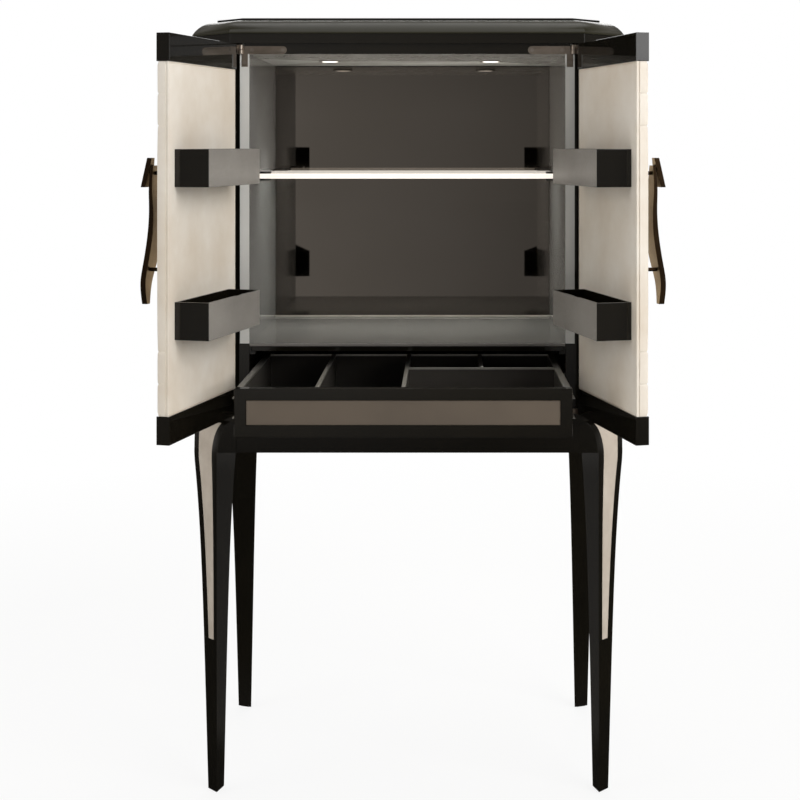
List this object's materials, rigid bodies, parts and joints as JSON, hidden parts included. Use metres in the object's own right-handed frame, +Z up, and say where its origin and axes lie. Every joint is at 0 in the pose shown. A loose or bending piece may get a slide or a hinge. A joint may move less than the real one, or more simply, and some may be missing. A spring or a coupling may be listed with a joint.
{
  "type": "bar cabinet",
  "caption": "Tall bar cabinet on tapering legs, with open doors that carry trays, a divided drawer, a slide-out serving shelf, a mirrored back and a glass shelf.",
  "frame": {"origin": "on the floor, under the middle of the whole cabinet with its doors and drawer open", "axes": "+Z up, +Y towards the back of the cabinet, +X to the right of someone facing it"},
  "size_m": [0.9638, 0.9342, 1.6],
  "materials": {
    "dark_lacquer": "gloss",
    "olive_lacquer": "gloss",
    "grey_lacquer": "gloss",
    "pale_leather": "satin",
    "greige_leather": "satin",
    "taupe_lacquer": "satin",
    "smoked_mirror": "polished",
    "smoked_glass": "polished",
    "clear_glass": "polished",
    "antique_brass": "satin",
    "dark_metal": "satin",
    "bright_steel": "satin",
    "bright_rim": "satin",
    "light_lens": "satin",
    "black_plastic": "matte"
  },
  "bodies": {
    "cabinet": {"frieze_board": "dark_lacquer", "cornice": "olive_lacquer", "top_plate": "dark_lacquer", "right_outer_side": "dark_lacquer", "left_outer_side": "dark_lacquer", "right_front_pilaster": "dark_lacquer", "left_front_pilaster": "dark_lacquer", "rear_pilasters": "dark_lacquer", "back_panel": "dark_lacquer", "floor_panel": "dark_lacquer", "ceiling_panel": "grey_lacquer", "right_inner_side": "grey_lacquer", "left_inner_side": "grey_lacquer", "inner_back": "dark_lacquer", "mirror": "smoked_mirror", "worktop_glass": "smoked_glass", "shelf_guides": "black_plastic", "glass_shelf": "clear_glass", "shelf_clamps": "dark_metal", "light_cups": "dark_metal", "light_lenses": "light_lens", "front_right_leg": "dark_lacquer", "front_left_leg": "dark_lacquer", "rear_right_leg": "dark_lacquer", "rear_left_leg": "dark_lacquer", "leg_inlays": "greige_leather", "foot_glides": "black_plastic", "front_apron": "dark_lacquer", "rear_apron": "dark_lacquer", "side_aprons": "dark_lacquer", "base_deck": "dark_lacquer", "hinge_mounts": "dark_metal", "hinge_screws": "bright_steel", "runner_rails": "bright_steel"},
    "left_door": {"left_door_core": "dark_lacquer", "left_door_lining": "pale_leather", "left_door_facing": "pale_leather", "left_door_rails": "dark_lacquer", "left_door_trays": "dark_lacquer", "left_handle": "antique_brass", "left_handle_posts": "antique_brass", "left_hinge_leaves": "dark_metal"},
    "right_door": {"right_door_core": "dark_lacquer", "right_door_lining": "pale_leather", "right_door_facing": "pale_leather", "right_door_rails": "dark_lacquer", "right_door_trays": "dark_lacquer", "right_handle": "antique_brass", "right_handle_posts": "antique_brass", "right_hinge_leaves": "dark_metal"},
    "drawer": {"drawer_front": "dark_lacquer", "drawer_inlay": "taupe_lacquer", "drawer_sides": "dark_lacquer", "drawer_back": "dark_lacquer", "drawer_floor": "dark_lacquer", "drawer_dividers": "dark_lacquer", "drawer_rims": "bright_rim", "runner_slides": "bright_steel"},
    "runner_carriage": {"runner_middles": "bright_steel"},
    "serving_leaf": {"serving_shelf": "dark_lacquer"}
  },
  "joints": [
    {"name": "left_door_hinge", "type": "hinge", "parent": "cabinet", "child": "left_door", "pos_m": [-0.3391, -0.13895, 1.17], "axis": [0, 0, -1], "range_deg": [-18.5, 6]},
    {"name": "right_door_hinge", "type": "hinge", "parent": "cabinet", "child": "right_door", "pos_m": [0.3391, -0.13895, 1.17], "axis": [0, 0, 1], "range_deg": [-18.5, 6]},
    {"name": "drawer_slide", "type": "slide", "parent": "cabinet", "child": "drawer", "axis": [0, 1, 0], "range_m": [0, 0.29]},
    {"name": "runner_slide", "type": "slide", "parent": "cabinet", "child": "runner_carriage", "axis": [0, 1, 0], "range_m": [0, 0.145]},
    {"name": "serving_shelf_slide", "type": "slide", "parent": "cabinet", "child": "serving_leaf", "axis": [0, -1, 0], "range_m": [0, 0.26]}
  ],
  "couplings": [
    {"joint": "runner_slide", "follows": "drawer_slide", "ratio": 0.5}
  ]
}
